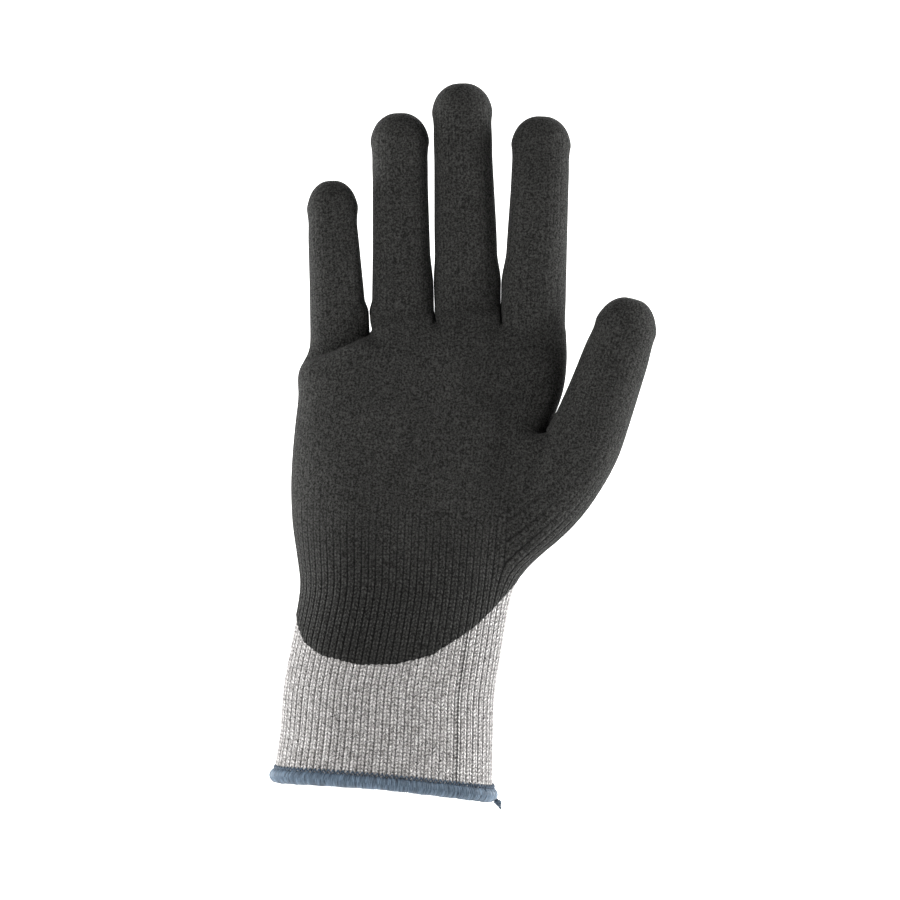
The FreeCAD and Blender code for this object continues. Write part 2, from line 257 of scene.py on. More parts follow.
ROW_LEVELS = [v * MM for v in (2.4, 8, *range(15, 142, 7), 147)]
TOP_RISE = 6 * MM
ring_start = bmesh.ops.create_circle(cage, segments=WALES, radius=0.04, cap_ends=False)["verts"]
row = ring_start[:1] + ring_start[:0:-1]
rows = [row]
for level in ROW_LEVELS[1:]:
    rows.append(grow(rows[-1], (ROW_LEVELS[len(rows) - 1], level)))
rows.append(grow(rows[-1], (ROW_LEVELS[-1], ROW_LEVELS[-1] + TOP_RISE)))
for level, row in zip(ROW_LEVELS, rows):
    centre, half_width, half_depth = hand_section(level)
    tilt = radians(np.interp(level / MM, *TILTS))
    place(row, centre, Vector((cos(tilt), 0, -sin(tilt))), Vector((0, 1, 0)), half_width, half_depth)
    for vert in row:
        vert.co.z += opening_lift(vert[side_layer], level)

# The top row follows the webs, and between two fingers a strip one rib wide crosses from palm to back.
SIDE = 2  # columns on each half of a side
FINGER_STEP = 9  # columns from one finger to the next
WEB_DROP, SADDLE_LIFT = 3.5 * MM, 1 * MM  # of the top row below the webs, and of a strip's middle above them
STRIP_RISE = 2.5 * MM
names = ("index", "middle", "ring", "little")
web_x = [fingers[n]["stations"][0][1] for n in names]
centre, half_width, half_depth = hand_section(palm_levels[-1])
place(rows[-1], centre, Vector((1, 0, 0)), Vector((0, 1, 0)), half_width, half_depth)
for vert in rows[-1]:
    web = float(np.interp(vert.co.x, web_x[::-1], [fingers[n]["web"] for n in names][::-1]))
    vert.co.z = web - WEB_DROP
top = rows[-1]
strips = {}
for k, (right, left) in enumerate(zip(names, names[1:])):
    a = SIDE + FINGER_STEP * (k + 1) - 1
    ends = (top[a], top[a + 1]), (top[-a], top[-a - 1])
    saddle = (fingers[right]["web"] + fingers[left]["web"]) / 2 + SADDLE_LIFT
    pair, across = list(ends[0]), []
    for n in range(1, 4):
        pair = grow(pair, (STRIP_RISE * (n - 1), STRIP_RISE * n), closed=False)
        for vert, front, back in zip(pair, ends[0], ends[1]):
            vert.co = front.co.lerp(back.co, n / 4)
            vert.co.z += (saddle - vert.co.z) * sin(pi * n / 4) ** 0.6
            vert[side_layer] = n / 2 - 1
            vert[reach_layer] = 1.0
        across.append(pair)
    face = cage.faces.new((pair[1], pair[0], ends[1][0], ends[1][1]))
    for corner, (u, n) in zip(face.loops, ((1, 3), (0, 3), (0, 4), (1, 4))):
        corner[wale_map].uv = (u, STRIP_RISE * n)
    strips[right, left] = across

# A finger's tube: its rows stand on the palm's columns in front and behind, and on the strips beside.
FINGER_ROWS = (0.035, 0.10, 0.17, 0.24, 0.31, 0.38, 0.46, 0.54, 0.62, 0.70, 0.79)  # shares of its length
PIECE_ROWS = (0.24, 0.54)  # where a finger's knitting is divided into pieces
TIP_HEIGHT = 9.0 * MM
TIP_ROWS = (0, 20, 38, 54, 67, 78)  # degrees round the closed end
TIP_POWER, THUMB_TIP_POWER = 0.95, 0.85  # a smaller power makes a blunter end
FINGER_RISE, THUMB_RISE = 5.5 * MM, 5 * MM  # of a row in the knitting's map
finger_loops = {}
for k, name in enumerate(names):
    finger = fingers[name]
    a = SIDE + FINGER_STEP * k
    front, back = top[a:a + FINGER_STEP], top[-a - FINGER_STEP + 1:-a + 1]
    beside_right = [p[1] for p in strips[names[k - 1], name]] if k else [top[1], top[0], top[-1]]
    far_side = top[WALES // 2 - 1:WALES // 2 + 2]
    beside_left = [p[0] for p in strips[name, names[k + 1]]] if k < 3 else far_side
    loop = [beside_right[1], beside_right[0]] + front + beside_left + back + [beside_right[2]]
    finger_loops[name] = [loop]
    stations, length = finger["stations"], finger["length"]
    up = finger["joints"]["tipjoint"] - finger["joints"]["knuckle"]
    up = Vector((up.x, 0, up.z)).normalized()
    across = Vector((0, 1, 0)).cross(up)
    shares = list(FINGER_ROWS) + [1 - TIP_HEIGHT * (1 - sin(radians(t))) / length for t in TIP_ROWS]
    turns = [0] * len(FINGER_ROWS) + list(TIP_ROWS)
    rise = 0.0
    for share, turn in zip(shares, turns):
        z = finger["web"] + share * (finger["tip"] - finger["web"])
        x, y, w, d = (float(np.interp(z, stations[:, 0], stations[:, n])) for n in (1, 2, 3, 4))
        x += (z - float(np.clip(z, stations[0, 0], stations[-1, 0]))) * up.x / up.z
        size = cos(radians(turn)) ** TIP_POWER
        loop = grow(loop, (rise, rise + FINGER_RISE))
        place(loop, Vector((x, y, z)), across, Vector((0, 1, 0)), w * size, d * size, (1 - share) * length)
        finger_loops[name].append(loop)
        rise += FINGER_RISE
    cage.faces.new(loop)

# The thumb's tube grows out of a hole in the thumb side, fans out round the root, and then follows the
# bent middle line of the CAD stall.
THUMB_LINE = [(67.0, -8.3, 119.0, 12.6, 11.4),  # x, y, z, half width and half depth, in mm
              (68.6, -8.5, 122.0, 12.1, 11.0), (74.6, -9.5, 138.0, 11.1, 10.0),
              (78.6, -10.5, 149.5, 10.6, 9.4), (81.6, -11.2, 158.0, 9.9, 8.8), (84.0, -11.8, 168.0, 9.0, 8.0)]
THUMB_LOOK = 8 * MM  # each way along the line, to find its direction
THUMB_ROWS = (0.13, 0.26, 0.38, 0.50, 0.62, 0.72)  # shares of its length above the fan
FAN_AWAY, FAN_BULGE = Vector((0.75, 0, -0.66)), 5.5 * MM  # the root's outer side stands out
THUMB_BOTTOM, THUMB_TOP = 11, 17  # rows that the hole lies between
THUMB_COLUMN, THUMB_HALF = 2, 4
FAN_ROWS = 5
THUMB_TIP_HEIGHT = 9.5 * MM
columns = range(THUMB_COLUMN - THUMB_HALF, THUMB_COLUMN + THUMB_HALF + 1)
hole = {rows[r][c] for r in range(THUMB_BOTTOM, THUMB_TOP + 1) for c in columns}
inside = [f for f in cage.faces if all(v in hole for v in f.verts)]
bmesh.ops.delete(cage, geom=inside, context="FACES")
fore, aft = THUMB_COLUMN + THUMB_HALF, THUMB_COLUMN - THUMB_HALF
loop = [rows[THUMB_BOTTOM][c] for c in range(THUMB_COLUMN, fore)]
loop += [rows[r][fore] for r in range(THUMB_BOTTOM, THUMB_TOP)]
loop += [rows[THUMB_TOP][c] for c in range(fore, aft, -1)]
loop += [rows[r][aft] for r in range(THUMB_TOP, THUMB_BOTTOM, -1)]
loop += [rows[THUMB_BOTTOM][c] for c in range(aft, THUMB_COLUMN)]
thumb_line = np.array(THUMB_LINE) * MM
run = np.concatenate([[0], np.cumsum(np.linalg.norm(np.diff(thumb_line[:, :3], axis=0), axis=1))])


def thumb_place(loop, s, size=1.0):
    """Move a loop to the thumb's section at a distance along its middle line."""
    x, y, z, w, d = (float(np.interp(s, run, thumb_line[:, n])) for n in range(5))
    a, b = (Vector([float(np.interp(s + look, run, thumb_line[:, n])) for n in range(3)])
            for look in (-THUMB_LOOK, THUMB_LOOK))
    up = (b - a).normalized()
    across = up.cross(Vector((0, -1, 0))).normalized()
    place(loop, Vector((x, y, z)), across, up.cross(across), w * size, d * size, run[-1] - s)


root = [v.co.copy() for v in loop]
thumb_loops = [loop]
for n in range(1, FAN_ROWS + 1):
    loop = grow(loop, (THUMB_RISE * (n - 1), THUMB_RISE * n))
    thumb_loops.append(loop)
thumb_place(loop, 0.0)
crotch = [v.co.copy() for v in loop]
for n, ring in enumerate(thumb_loops[1:-1], start=1):
    t = n / FAN_ROWS
    thumb_place(ring, 0.0)
    for vert, a, b, turn in zip(ring, root, crotch, np.arange(THUMB_WALES) * tau / THUMB_WALES):
        bulge = FAN_AWAY * (max(0.0, cos(turn)) * FAN_BULGE)
        vert.co = a.lerp(b, t) + bulge * sin(pi * t)
        vert[reach_layer] = 1.0
sections = [(run[-1] * share, 0) for share in THUMB_ROWS]
sections += [(run[-1] - THUMB_TIP_HEIGHT * (1 - sin(radians(t))), t) for t in TIP_ROWS]
rise = THUMB_RISE * FAN_ROWS
for s, turn in sections:
    loop = grow(loop, (rise, rise + THUMB_RISE))
    thumb_loops.append(loop)
    thumb_place(loop, s, cos(radians(turn)) ** THUMB_TIP_POWER)
    rise += THUMB_RISE
cage.faces.new(loop)
bmesh.ops.recalc_face_normals(cage, faces=cage.faces)
near_root = {v for ring in thumb_loops[:FAN_ROWS] for v in ring}
near_root |= {rows[r][c] for r in range(THUMB_BOTTOM - 2, THUMB_TOP + 3) for c in range(aft - 2, fore + 3)
              if rows[r][c].is_valid}
for _ in range(3):
    bmesh.ops.smooth_vert(cage, verts=list(near_root), factor=0.5,
                          use_axis_x=True, use_axis_y=True, use_axis_z=True)

# The cage is labelled by piece and smoothed to eight faces across a rib. Ribs, the palm's pads and
# the creases are raised on the smooth surface, and the coating's own surface is kept beside them.
CUFF_TOP_ROW = 4
region_layer = cage.faces.layers.int.new("region")
region_names = ["palm", "cuff"]


def label(name, loops):
    """Name the faces between the first and the last of some loops."""
    if name not in region_names:
        region_names.append(name)
    for low, high in zip(loops, loops[1:]):
        both = set(low) | set(high)
        for face in {f for v in high for f in v.link_faces if all(c in both for c in f.verts)}:
            face[region_layer] = region_names.index(name)


label("cuff", rows[:CUFF_TOP_ROW + 1])
cut_rows = [FINGER_ROWS.index(share) + 1 for share in PIECE_ROWS]
for name in names:
    loops = finger_loops[name]
    label(f"{name}_root", loops[:cut_rows[0] + 1])
    label(f"{name}_middle", loops[cut_rows[0]:cut_rows[1] + 1])
    label(f"{name}_tip", loops[cut_rows[1]:])
THUMB_CUT = FAN_ROWS + 3
label("thumb_root", thumb_loops[FAN_ROWS:THUMB_CUT + 1])
label("thumb_tip", thumb_loops[THUMB_CUT:])

glove = bpy.data.objects.new("glove", bpy.data.meshes.new("glove"))
cage.to_mesh(glove.data)
cage.free()
bpy.context.scene.collection.objects.link(glove)
smooth = glove.modifiers.new("smooth", "SUBSURF")
smooth.levels = smooth.render_levels = 3
fine = bpy.data.meshes.new_from_object(glove.evaluated_get(bpy.context.evaluated_depsgraph_get()))
bpy.data.objects.remove(glove)
count = len(fine.vertices)


def point_values(mesh, name):
    """An attribute's value at each point."""
    values = np.zeros(len(mesh.vertices), np.float32)
    mesh.attributes[name].data.foreach_get("value", values)
    return values.astype(float)


def keep_values(mesh, name, values):
    """Store a value or a vector for each point."""
    kind = "FLOAT_VECTOR" if values.ndim == 2 else "FLOAT"
    layer = mesh.attributes.new(name, kind, "POINT")
    layer.data.foreach_set("vector" if values.ndim == 2 else "value", values.astype(np.float32).ravel())


place_now = np.zeros(count * 3, np.float32)
fine.vertices.foreach_get("co", place_now)
place_now = place_now.reshape(-1, 3).astype(float)
corner_vert = np.zeros(len(fine.loops), np.int32)
fine.loops.foreach_get("vertex_index", corner_vert)
corner_uv = np.zeros(len(fine.loops) * 2, np.float32)
fine.uv_layers["wales"].data.foreach_get("uv", corner_uv)
wale = np.zeros(count)
wale[corner_vert] = corner_uv.reshape(-1, 2)[:, 0]
side, reach = point_values(fine, "side"), point_values(fine, "reach")
x, y, z = place_now.T / MM


def step(low, high, value):
    """A smooth rise from 0 at low to 1 at high."""
    t = np.clip((value - low) / (high - low), 0, 1)
    return t * t * (3 - 2 * t)


def beside_line(x0, z0, x1, z1):
    """How far each point is along a line across the palm, from 0 to 1, and how many mm above it."""
    length = np.hypot(x1 - x0, z1 - z0)
    along = ((x - x0) * (x1 - x0) + (z - z0) * (z1 - z0)) / length ** 2
    return along, ((z - z0) * (x1 - x0) - (x - x0) * (z1 - z0)) / length


# Pads and hollows of the worn palm: middle x and z, radii and height in mm, towards the palm side.
PADS = [(44, 92, 15, 25, 2.6), (-12, 88, 16, 30, 2.2), (12, 112, 15, 20, -2.0), (-17, 142, 11, 7, 1.6),
        (6, 148, 9, 7, 1.2), (28, 149, 9, 7, 1.2), (50, 147, 9, 8, 1.2), (20, 66, 16, 12, 1.0)]
palm_side = step(0.35, -0.5, side)
for pad_x, pad_z, width, height, lift in PADS:
    y -= lift * palm_side * np.exp(-((x - pad_x) / width) ** 2 - ((z - pad_z) / height) ** 2)

# Folds where the fingers leave the palm: two ends, and how far the finger's side of the line steps back.
FOLDS = [(-32.0, 142.8, -4.0, 155.5, 3.8), (-2.5, 159.5, 16.5, 163.0, 0.9), (18.5, 163.5, 38.5, 163.5, 0.9)]
FOLD_REACH = 12.0
FOLD_HEEL = 0.35  # share of the step by which the palm's side of the line stands out
for x0, z0, x1, z1, fold in FOLDS:
    along, above = beside_line(x0, z0, x1, z1)
    here = palm_side * step(-0.12, 0.10, along) * step(1.12, 0.92, along)
    back_step = step(-0.7, 0.9, above) * np.exp(-np.maximum(above, 0) / FOLD_REACH)
    heel_step = step(0.9, -0.7, above) * np.exp(np.minimum(above, 0) / FOLD_REACH)
    y += fold * here * (back_step - FOLD_HEEL * heel_step)

# The crease between the thumb's pad and the palm.
CREASE_ENDS = (55.5, 123.0, 47.5, 97.0)
CREASE_DEPTH, CREASE_HALF = 1.5, 2.4
along, above = beside_line(*CREASE_ENDS)
here = palm_side * step(-0.1, 0.1, along) * step(1.2, 0.5, along)
y += CREASE_DEPTH * here * np.exp(-(above / CREASE_HALF) ** 2)

# The hand's sides swell below the little finger and below the index finger.
LITTLE_SWELL, INDEX_SWELL = 3.0, 3.9
x -= LITTLE_SWELL * np.exp(-((z - 144.5) / 6.5) ** 2) * step(-14, -26, x)
x += INDEX_SWELL * np.exp(-((z - 137) / 14) ** 2) * step(44, 54, x) * step(0.3, 0.9, reach)

# Worn fingers press against each other for a short way above the webs.
ROOT_GAP = -0.1  # of the smooth surfaces; the ribs leave more
WEB_WIDTH = 0.7  # half width that a web is pressed to
PRESS_SPREAD, PRESS_MOST, HALF_FINGER = 2.4, 2.4, 9  # how far the pressing spreads, moves and reaches
PRESSED = ((13.0, 24.0), (13.0, 24.0), (7.5, 12.0))  # heights above each web: closed below, open above
for right, left, pressed in zip(names, names[1:], PRESSED):
    edges = []
    for name, sign in ((right, -1), (left, 1)):
        stations = fingers[name]["stations"]
        edges.append(np.interp(z * MM, stations[:, 0], stations[:, 1] + sign * (stations[:, 3] + COAT)) / MM)
    middle, half = (edges[0] + edges[1]) / 2, (edges[0] - edges[1]) / 2
    rise = z - (fingers[right]["web"] + fingers[left]["web"]) / 2 / MM
    offset = x - middle
    near = np.exp(-((np.abs(offset) - half - COAT / MM) / PRESS_SPREAD) ** 2) * (np.abs(offset) < HALF_FINGER)
    closing = near * step(pressed[1], pressed[0], rise) * step(-1, 1.5, rise)
    x -= np.sign(offset) * np.clip(half - ROOT_GAP / 2, 0, PRESS_MOST) * closing
    offset = x - middle
    spread = np.clip(np.abs(offset) - WEB_WIDTH, 0, HALF_FINGER)
    squeeze = 0.9 * np.exp(-(spread / 1.8) ** 2) * step(9, 4, rise) * step(-2.5, 0.5, rise)
    x -= np.sign(offset) * spread * squeeze
place_now = np.column_stack([x, y, z]) * MM
fine.vertices.foreach_set("co", place_now.astype(np.float32).ravel())
fine.update()
outward = np.zeros(count * 3, np.float32)
fine.vertex_normals.foreach_get("vector", outward)
outward = outward.reshape(-1, 3).astype(float)

RIB_DEPTH = 0.45 * MM
RIB_RISE = 0.6  # share of a rib's depth that lies below the middle surface
COAT_RIB = 0.05 * MM
RIB_POWER = 0.7  # below 1 makes the ribs rounder and the valleys narrower
CLOSED_END = 4 * MM, 9 * MM  # below a fingertip, between which the ribs begin
rib = np.abs(np.sin(pi * wale)) ** RIB_POWER
closed_end = step(*CLOSED_END, reach)
# Each fingertip is widest where its knitting was closed, with a slight waist below.
EAR, EAR_REACH, EAR_SPAN = 0.28 * MM, 9.0 * MM, 2.0 * MM
WAIST, WAIST_REACH, WAIST_SPAN = 0.2 * MM, 14.0 * MM, 3.5 * MM
pinch = EAR * np.exp(-((reach - EAR_REACH) / EAR_SPAN) ** 2)
pinch -= WAIST * np.exp(-((reach - WAIST_REACH) / WAIST_SPAN) ** 2)
place_now += outward * (pinch * np.clip(1 - side ** 2, 0, 1) ** 3)[:, None]
knit_place = place_now + outward * (RIB_DEPTH * (rib - RIB_RISE) * closed_end)[:, None]

# The dip covers the palm side, wraps the sides, closes over the fingertips, and ends above the wrist
# in a curve that follows the hand's heel. Its edge is a little ragged where it soaked along the stitches.
DIP_WRAP, THUMB_WRAP = 0.30, 0.25  # how far it goes round, from 0 at the sides to 1 at the back
DIP_SLOPE = 9 * MM  # from a share of the way round to a distance inside the edge
DIP_CAP = 9 * MM
THUMB_SPARE = 20 * MM  # keeps the thumb root's limit off the rest of the glove
WAVE_ACROSS, WAVE_UP = 0.16 * MM, 0.14 * MM  # of the ragged edge
EDGE_THICKNESS, EDGE_RUN = 0.25 * MM, 2.2 * MM
DIP_EDGE = ((-60, -31, -28.6, -26.5, -21, -8, 4, 16, 30, 36, 40, 46, 70, 120),
            (78, 65, 57, 52.5, 48.5, 45.4, 45.6, 48.5, 57.5, 63, 67.5, 73.5, 88, 125))
dip = np.maximum((DIP_WRAP - side) * DIP_SLOPE, DIP_CAP - reach)
dip = np.minimum(dip, (z - np.interp(x, *DIP_EDGE)) * MM)
thumb_root = step(46, 54, x) * step(84, 92, z) * step(134, 124, z)
dip = np.minimum(dip, (THUMB_WRAP - outward[:, 1]) * DIP_SLOPE + (1 - thumb_root) * THUMB_SPARE)
dip += WAVE_ACROSS * np.sin(x * 2.9 + 3 * np.sin(z * 1.7))
dip += WAVE_UP * np.sin(z * 3.7 + 2 * np.sin(x * 2.3))
# The ribs show through the coating most low on the palm and at the thumb's root.
low_palm = 0.6 + 3.6 * step(98, 62, z) + 2.0 * step(48, 62, x) * step(140, 90, z)
thickness = EDGE_THICKNESS + (COAT - EDGE_THICKNESS) * step(0, EDGE_RUN, dip)
coat_place = place_now + outward * (thickness + COAT_RIB * low_palm * (rib - RIB_RISE) * closed_end)[:, None]

fine.vertices.foreach_set("co", knit_place.astype(np.float32).ravel())
keep_values(fine, "coat_place", coat_place)
keep_values(fine, "outward", outward)
keep_values(fine, "dip", dip)
region = np.zeros(len(fine.polygons), np.int32)
fine.attributes["region"].data.foreach_get("value", region)
fine.polygons.foreach_set("use_smooth", np.ones(len(fine.polygons), bool))
for name in region_names:
    fine.materials.append(None)
fine.polygons.foreach_set("material_index", region)
whole = bpy.data.objects.new("whole", fine)
bpy.context.scene.collection.objects.link(whole)
bpy.ops.object.select_all(action="DESELECT")
bpy.context.view_layer.objects.active = whole
whole.select_set(True)
bpy.ops.object.mode_set(mode="EDIT")
bpy.ops.mesh.select_all(action="SELECT")
bpy.ops.mesh.separate(type="MATERIAL")
bpy.ops.object.mode_set(mode="OBJECT")
knits = {}
for piece in list(bpy.context.selected_objects):
    name = region_names[piece.data.attributes["region"].data[0].value]
    piece.name = piece.data.name = f"{name}_knit"
    piece.data.materials.clear()
    knits[name] = piece

# The yarn is a mix of white, grey and dark fibres in V-shaped stitches. Its pattern follows the knitting's
# own map, with ribs across and rows of stitches up.


def put(tree, kind, inputs=(), **settings):
    """A node with its settings, and its inputs in order: a number, a colour or another node's output."""
    node = tree.nodes.new(kind)
    for key, value in settings.items():
        setattr(node, key, value)
    for socket, value in zip(node.inputs, inputs):
        if isinstance(value, bpy.types.NodeSocket):
            tree.links.new(value, socket)
        elif value is not None:
            socket.default_value = value
    return node


def calc(tree, operation, *values):
    """The result of a Math node."""
    return put(tree, "ShaderNodeMath", values, operation=operation).outputs[0]


def speckle(tree, coords, scale, detail=2.0, rough=0.6):
    """Noise, about 0.5 on average."""
    return put(tree, "ShaderNodeTexNoise", (coords, None, scale, detail, rough)).outputs[0]


def mix(tree, factor, a, b):
    """A colour between two others."""
    node = tree.nodes.new("ShaderNodeMix")
    node.data_type = "RGBA"
    for socket, value in zip((node.inputs[0], node.inputs[6], node.inputs[7]), (factor, a, b)):
        if isinstance(value, bpy.types.NodeSocket):
            tree.links.new(value, socket)
        else:
            socket.default_value = value
    return node.outputs[2]


def shade(tree, colour, factor):
    """A colour times a value."""
    grey = put(tree, "ShaderNodeCombineXYZ", (factor,) * 3).outputs[0]
    return put(tree, "ShaderNodeVectorMath", (colour, grey), operation="MULTIPLY").outputs[0]


STITCH_SLANT = 1.3  # how steeply a stitch's two legs climb, in rows
stitches = bpy.data.node_groups.new("stitches", "ShaderNodeTree")
stitches.interface.new_socket("Courses", in_out="INPUT", socket_type="NodeSocketFloat")
for socket in ("Height", "Valley", "Stitch", "Column"):
    stitches.interface.new_socket(socket, in_out="OUTPUT", socket_type="NodeSocketFloat")
group_in = put(stitches, "NodeGroupInput")
group_out = put(stitches, "NodeGroupOutput")
uv = put(stitches, "ShaderNodeUVMap", uv_map="wales").outputs[0]
split = put(stitches, "ShaderNodeSeparateXYZ", (uv,)).outputs
leg = calc(stitches, "ABSOLUTE", calc(stitches, "SUBTRACT", calc(stitches, "FRACT", split[0]), 0.5))
slant = calc(stitches, "MULTIPLY", leg, STITCH_SLANT)
climb = calc(stitches, "MULTIPLY_ADD", split[1], group_in.outputs[0], slant)
wave = calc(stitches, "COSINE", calc(stitches, "MULTIPLY", climb, tau))
strand = calc(stitches, "MULTIPLY_ADD", wave, 0.5, 0.5)
ridge = calc(stitches, "SINE", calc(stitches, "MULTIPLY", leg, tau))
height = calc(stitches, "MULTIPLY", calc(stitches, "MULTIPLY_ADD", strand, 0.7, 0.3), ridge)
between = calc(stitches, "POWER", calc(stitches, "MULTIPLY", leg, 2.0), 5.0)
valley = calc(stitches, "SMOOTH_MIN", 1.0, between, 0.1)
half_columns = calc(stitches, "FLOOR", calc(stitches, "MULTIPLY", split[0], 2.0))
cell = put(stitches, "ShaderNodeCombineXYZ", (half_columns, calc(stitches, "FLOOR", climb))).outputs[0]
chance = put(stitches, "ShaderNodeTexWhiteNoise", (cell,), noise_dimensions="2D").outputs[0]
for socket, value in zip(group_out.inputs, (height, valley, chance, split[0])):
    stitches.links.new(value, socket)


def new_finish(name, roughness, specular, sheen):
    """A material's tree, its shader, and object coordinates."""
    material = bpy.data.materials.new(name)
    material.use_nodes = True
    shader = material.node_tree.nodes["Principled BSDF"]
    shader.inputs["Roughness"].default_value = roughness
    shader.inputs["Specular IOR Level"].default_value = specular
    shader.inputs["Sheen Weight"].default_value = sheen
    coords = put(material.node_tree, "ShaderNodeTexCoord").outputs["Object"]
    return material, material.node_tree, shader, coords


def bump(tree, height, distance, strength, below=None):
    """A normal bent by a relief of some metres, on top of another normal if there is one."""
    node = put(tree, "ShaderNodeBump")
    node.inputs["Strength"].default_value, node.inputs["Distance"].default_value = strength, distance
    tree.links.new(height, node.inputs["Height"])
    if below is not None:
        tree.links.new(below, node.inputs["Normal"])
    return node.outputs[0]


def add_stitches(tree):
    """The outputs of the stitch pattern, placed in a material."""
    node = put(tree, "ShaderNodeGroup", node_tree=stitches)
    node.inputs[0].default_value = COURSES
    return node.outputs


COURSES = 720.0  # rows of stitches to a metre
DARK_FIBRE, GREY_YARN, PALE_YARN = (0.035, 0.033, 0.032, 1), (0.25, 0.235, 0.225, 1), (0.82, 0.80, 0.79, 1)
SEAM_COLUMN, SEAM_HALF = 9.5, 0.17  # of the dropped stitches on the thumb side of the cuff, in ribs
FLECKS, FIBRES, FUZZ = 1500.0, 2300.0, 4800.0  # specks to a metre
STITCH_RELIEF, FUZZ_RELIEF = 0.5 * MM, 0.15 * MM
knit_finish, tree, shader, coords = new_finish("melange_knit", 0.88, 0.2, 0.2)
height, valley, stitch, column = add_stitches(tree)
fleck = calc(tree, "MULTIPLY_ADD", speckle(tree, coords, FLECKS), 2.6, -0.8)
tone = calc(tree, "MULTIPLY_ADD", stitch, 0.45, calc(tree, "MULTIPLY", fleck, 0.6))
yarn_and_painted_shade = mix(tree, tone, GREY_YARN, PALE_YARN)
fibre = calc(tree, "MULTIPLY_ADD", speckle(tree, coords, FIBRES, 1.0), 4.5, -1.35)
yarn_and_painted_shade = mix(tree, fibre, DARK_FIBRE, yarn_and_painted_shade)
# Painted shade and highlight on the stitches: the yarn colour is painted darker down between the strands and
# lighter on their tops.
yarn_and_painted_shade = shade(tree, yarn_and_painted_shade, calc(tree, "MULTIPLY_ADD", height, 0.95, 0.32))
# Painted shade in the valleys between the ribs.
yarn_and_painted_shade = shade(tree, yarn_and_painted_shade, calc(tree, "MULTIPLY_ADD", valley, -0.6, 1.0))
# Painted shade in the gaps of the dropped stitches on the thumb side of the cuff: the low parts of those
# stitches are painted darker.
beside = calc(tree, "ABSOLUTE", calc(tree, "SUBTRACT", column, SEAM_COLUMN))
in_seam = calc(tree, "LESS_THAN", beside, SEAM_HALF)
dropped_gap_shade = calc(tree, "MULTIPLY", in_seam, calc(tree, "LESS_THAN", height, 0.62))
yarn_and_painted_shade = shade(tree, yarn_and_painted_shade, calc(tree, "MULTIPLY_ADD", dropped_gap_shade, -0.8, 1.0))
tree.links.new(yarn_and_painted_shade, shader.inputs["Base Color"])
loops_bump = bump(tree, height, STITCH_RELIEF, 0.9)
fuzz_bump = bump(tree, speckle(tree, coords, FUZZ), FUZZ_RELIEF, 0.5, loops_bump)
tree.links.new(fuzz_bump, shader.inputs["Normal"])

CUFF_WALL = 1.1 * MM
wall = knits["cuff"].modifiers.new("wall", "SOLIDIFY")
wall.thickness, wall.offset = CUFF_WALL, -1.0

# How the pieces move: the cuff is held, the palm turns at the wrist, and each finger piece bends
# across the one hinge that it covers. The bend of a finger hinge is spread over a share of its length.
WRIST_SPREAD, THUMB_SPREAD = 19.5 * MM, 8.3 * MM
FINGER_LENGTHS = (("root", "proximal", "knuckle", 0.095), ("middle", "medial", "midjoint", 0.125),
                  ("tip", "distal", "tipjoint", 0.115))  # the piece, the CAD length, its hinge and the share
THUMB_LENGTHS = (("root", "proximal", "knuckle", 1, 2),  # two points of its line give the direction
                 ("tip", "distal", "tipjoint", 2, 4))
hinges = {j["name"]: j for j in frame["joints"]}
bends, stands_for = {}, {"palm": ("palm", "wrist_flex")}


def add_bend(region, hinge, reach_up):
    """Spread a hinge's bend over a piece, the same way below the hinge as above."""
    point = Vector(hinges[hinge]["pos_m"])
    bends[region] = (hinges[hinge]["parent"], hinges[hinge]["child"], point - reach_up, point + reach_up)


add_bend("palm", "wrist_bend", Vector((0, 0, WRIST_SPREAD)))
for name in names:
    joints = fingers[name]["joints"]
    up = joints["tipjoint"] - joints["knuckle"]
    up = Vector((up.x, 0, up.z)).normalized() * fingers[name]["length"]
    for region, part, joint, share in FINGER_LENGTHS:
        add_bend(f"{name}_{region}", f"{name}_{joint}_bend", up * share)
        stands_for[f"{name}_{region}"] = (f"{name}_{part}", f"{name}_{joint}_flex")
for region, part, joint, a, b in THUMB_LENGTHS:
    up = Vector(thumb_line[b, :3] - thumb_line[a, :3]).normalized()
    add_bend(f"thumb_{region}", f"thumb_{joint}_bend", up * THUMB_SPREAD)
    stands_for[f"thumb_{region}"] = (f"thumb_{part}", f"thumb_{joint}_flex")

for piece in knits.values():
    piece.data.materials.append(knit_finish)
    piece.data.polygons.foreach_set("material_index", np.zeros(len(piece.data.polygons), np.int32))
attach(knits["cuff"], "cuff")
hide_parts("cuff_liner")
for region, (length_name, flex) in stands_for.items():
    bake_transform(knits[region], *bends[region])
    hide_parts(f"{length_name}_liner", flex)

# ---- Dipped coating -----------------------------------------------------------------------------
# A skin of dark foamed nitrile, bonded to the knit. Each piece is cut along the edge of the dip from
# the coating's surface, and its edge is turned down onto the knit.
EDGE_LAP = 0.55 * MM
coats = {}
for name, knit in knits.items():
    if point_values(knit.data, "dip").max() < 0:
        continue
    skin = bmesh.new()
    skin.from_mesh(knit.data)
    kept, away = (skin.verts.layers.float_vector[layer] for layer in ("coat_place", "outward"))
    depth = skin.verts.layers.float["dip"]
    for vert in skin.verts:
        vert.co.x = vert[depth]
    everything = skin.verts[:] + skin.edges[:] + skin.faces[:]
    bmesh.ops.bisect_plane(skin, geom=everything, dist=1e-7, clear_inner=True,
                           plane_co=(0, 0, 0), plane_no=(1, 0, 0))
    rim = [e for e in skin.edges if e.is_boundary and all(abs(v[depth]) < 2e-6 for v in e.verts)]
    for vert in skin.verts:
        vert.co = vert[kept]
    made = bmesh.ops.extrude_edge_only(skin, edges=rim)["geom"]
    for vert in made:
        if isinstance(vert, bmesh.types.BMVert):
            vert.co = Vector(vert[kept]) - Vector(vert[away]) * EDGE_LAP
    coat = bpy.data.objects.new(f"{name}_nitrile", bpy.data.meshes.new(f"{name}_nitrile"))
    skin.to_mesh(coat.data)
    skin.free()
    bpy.context.scene.collection.objects.link(coat)
    coats[name] = coat
